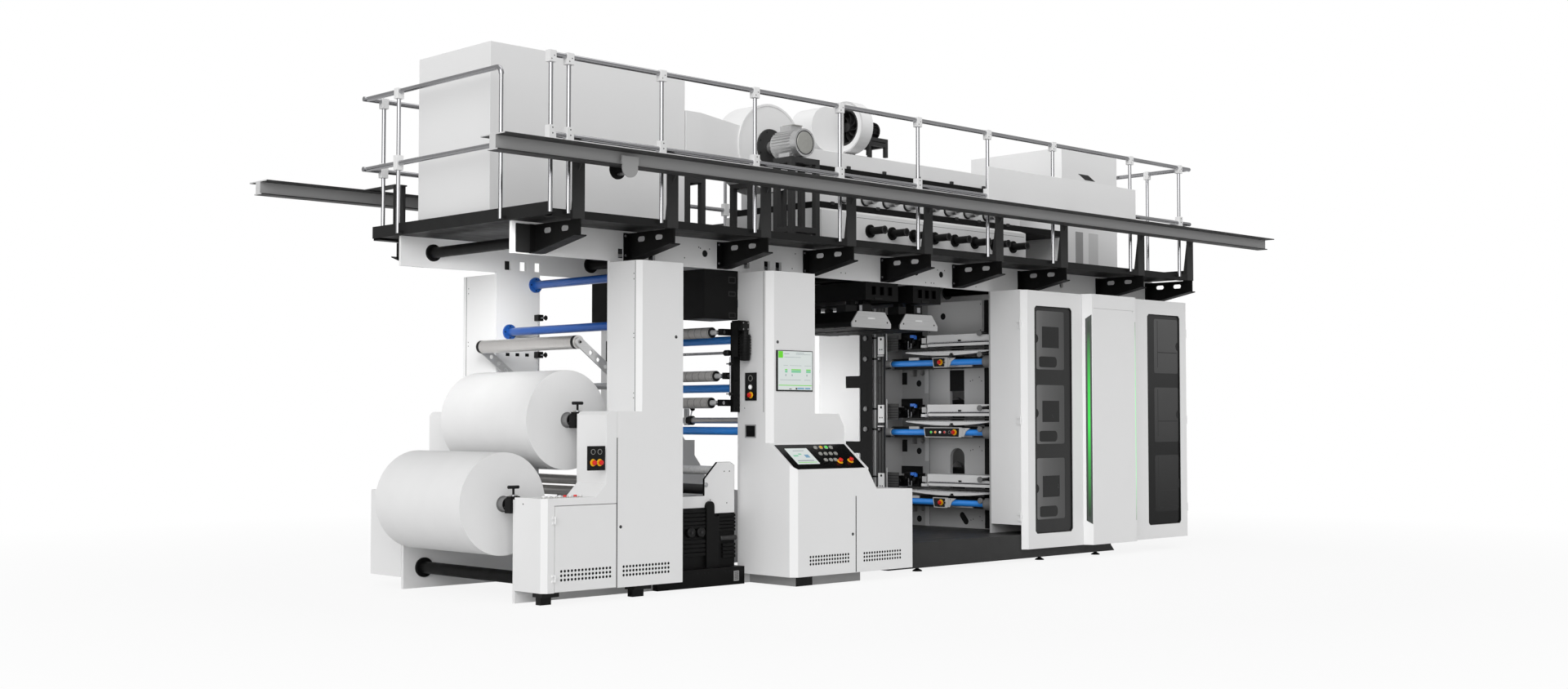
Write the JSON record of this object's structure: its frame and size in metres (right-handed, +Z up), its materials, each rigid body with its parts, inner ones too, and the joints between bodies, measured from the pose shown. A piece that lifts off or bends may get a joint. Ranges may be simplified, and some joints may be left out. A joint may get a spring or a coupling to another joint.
{
  "type": "flexographic printing press",
  "caption": "Wide-web flexographic printing press with unwind stand, infeed, stacked print decks behind window doors, and a railed service platform carrying dryers, blowers and hoist rails.",
  "frame": {"origin": "on the floor, midway along the hoist beams and between the two side frames", "axes": "+X along the machine from the unwinder to the print unit, -Y towards the operator's side, +Z up"},
  "size_m": [10.34, 3.7, 4.497],
  "materials": {
    "black_paint": "satin",
    "blue_anodised": "satin",
    "brushed_metal": "brushed",
    "chromed_steel": "polished",
    "dark_grey_paint": "matte",
    "light_grey_paint": "satin",
    "mid_grey_paint": "satin",
    "tinted_glass": "polished",
    "web_film": "satin",
    "white_paint": "satin"
  },
  "bodies": {
    "press": {"blower_housings": "white_paint", "blower_motors": "brushed_metal", "blower_stands": "dark_grey_paint", "blue_tie_tubes": "blue_anodised", "bridge_beams": "white_paint", "console_cabinet": "white_paint", "dark_tie_tubes": "black_paint", "deck_control_boxes": "dark_grey_paint", "drive_side_cabinets": "white_paint", "dryer_cylinders": "brushed_metal", "dryer_fittings": "black_paint", "dryer_tunnels": "white_paint", "exhaust_fan": "white_paint", "handrails": "chromed_steel", "infeed_drives": "black_paint", "infeed_stand": "black_paint", "ink_decks": "brushed_metal", "machine_plinths": "dark_grey_paint", "monorail_beams": "mid_grey_paint", "monorail_posts": "dark_grey_paint", "platform_deck": "dark_grey_paint", "print_frames": "light_grey_paint", "print_housing": "white_paint", "rail_clamps": "white_paint", "reel_clamps": "black_paint", "roof_cabinets": "white_paint", "side_frames": "white_paint", "sign_panel": "white_paint", "unwind_cabinets": "white_paint", "walkway_brackets": "dark_grey_paint", "web_dryers": "black_paint", "web_rollers": "brushed_metal"},
    "unwind_door": {"unwind_door": "white_paint"},
    "lower_reel": {"lower_reel": "web_film"},
    "upper_reel": {"upper_reel": "web_film"},
    "swing_arm": {"swing_arm": "brushed_metal"},
    "rider_roller": {"rider_roller": "brushed_metal"},
    "left_door": {"print_door_left": "white_paint", "left_door_window": "tinted_glass"},
    "right_door": {"print_door_right": "white_paint", "right_door_window": "tinted_glass"},
    "trolley": {"hoist_trolley": "mid_grey_paint"},
    "infeed_roller_top": {"infeed_roller_top": "brushed_metal"},
    "infeed_roller_middle": {"infeed_roller_middle": "brushed_metal"},
    "infeed_roller_low": {"infeed_roller_low": "brushed_metal"}
  },
  "joints": [
    {"name": "lower_reel_spin", "type": "hinge", "parent": "press", "child": "lower_reel", "pos_m": [-4.282, 0, 0.75], "axis": [0, 1, 0], "continuous": true},
    {"name": "upper_reel_spin", "type": "hinge", "parent": "press", "child": "upper_reel", "pos_m": [-3.66808, 0, 1.39988], "axis": [0, 1, 0], "continuous": true},
    {"name": "swing_arm_hinge", "type": "hinge", "parent": "press", "child": "swing_arm", "pos_m": [-3.15008, 0, 1.67988], "axis": [0, 1, 0], "range_deg": [-10, 28]},
    {"name": "rider_roller_spin", "type": "hinge", "parent": "swing_arm", "child": "rider_roller", "pos_m": [-3.61808, 0, 2.02388], "axis": [0, 1, 0], "continuous": true},
    {"name": "unwind_door_hinge", "type": "hinge", "parent": "press", "child": "unwind_door", "pos_m": [-4.2115, -1.179, 0.4], "axis": [0, 0, -1], "range_deg": [0, 110]},
    {"name": "left_door_hinge", "type": "hinge", "parent": "press", "child": "left_door", "pos_m": [1.453, -1.179, 1.4], "axis": [0, 0, -1], "range_deg": [0, 110]},
    {"name": "right_door_hinge", "type": "hinge", "parent": "press", "child": "right_door", "pos_m": [4.354, -1.216, 1.4], "axis": [0, 0, 1], "range_deg": [0, 110]},
    {"name": "trolley_slide", "type": "slide", "parent": "press", "child": "trolley", "axis": [1, 0, 0], "range_m": [-1.04, 9.06]},
    {"name": "infeed_top_spin", "type": "hinge", "parent": "press", "child": "infeed_roller_top", "pos_m": [-2.109, 0, 2.154], "axis": [0, 1, 0], "continuous": true},
    {"name": "infeed_middle_spin", "type": "hinge", "parent": "press", "child": "infeed_roller_middle", "pos_m": [-2.06, 0, 1.778], "axis": [0, 1, 0], "continuous": true},
    {"name": "infeed_low_spin", "type": "hinge", "parent": "press", "child": "infeed_roller_low", "pos_m": [-2.114, 0, 1.546], "axis": [0, 1, 0], "continuous": true}
  ]
}
